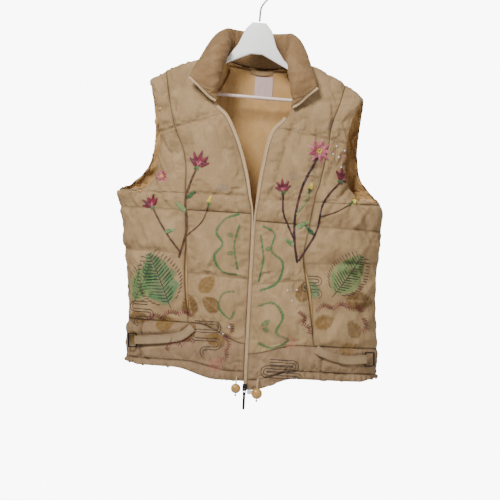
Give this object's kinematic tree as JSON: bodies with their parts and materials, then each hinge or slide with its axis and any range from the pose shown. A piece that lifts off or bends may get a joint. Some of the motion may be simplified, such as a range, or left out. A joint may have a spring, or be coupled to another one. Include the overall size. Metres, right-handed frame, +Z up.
{
  "type": "quilted vest on a hanger",
  "caption": "Padded sleeveless vest with an open front zip, tall fold-out collar, hem band and side straps, hanging on a plain closed coat hanger.",
  "frame": {"origin": "the point inside the top of the hanger's hook where a rail bears", "axes": "+Z up, the vest's fronts face -Y, +X towards the wearer's left side"},
  "size_m": [0.5513, 0.1722, 0.875],
  "materials": {
    "shell": "soft sheen woven nylon",
    "lining": "satin lining",
    "zip_tape": "matte woven tape with pale teeth",
    "label": "matte woven, bare",
    "dark_metal": "dark plated, satin",
    "zip_box": "matte",
    "cord": "braided elastic",
    "toggle": "semi gloss",
    "hanger_plastic": "smooth moulded, semi gloss",
    "hook_wire": "bright wire"
  },
  "bodies": {
    "vest": {"front_right_hem_casing": "shell", "front_right_band": "shell", "front_right_centre_lower": "shell", "front_right_centre_upper": "shell", "front_right_side": "shell", "pocket_facing_right": "lining", "zip_tape_right": "zip_tape", "zip_tape_collar_right": "zip_tape", "side_strap_right": "shell", "side_ring_right": "dark_metal", "front_left_hem_casing": "shell", "front_left_band": "shell", "front_left_centre_lower": "shell", "front_left_centre_upper": "shell", "front_left_side": "shell", "pocket_facing_left": "lining", "zip_tape_left": "zip_tape", "zip_tape_collar_left": "zip_tape", "side_strap_left": "shell", "side_ring_left": "dark_metal", "back": "shell", "back_hem_casing": "shell", "back_lining": "lining", "neck_label": "label", "hanging_loop": "shell", "collar": "shell", "zip_slider": "dark_metal", "zip_retainer": "zip_box", "drawcord_right": "cord", "toggle_right": "toggle", "cord_knot_right": "cord", "drawcord_left": "cord", "toggle_left": "toggle", "cord_knot_left": "cord", "hanger_arms": "hanger_plastic", "hanger_bar": "hanger_plastic", "hanger_hook": "hook_wire"},
    "zip_pull": {"zip_pull": "dark_metal"}
  },
  "joints": [
    {"name": "zip_pull_hinge", "type": "hinge", "parent": "vest", "child": "zip_pull", "pos_m": [0.013, -0.07925, -0.83], "axis": [-1, 0, 0], "range_deg": [-3, 150]}
  ]
}
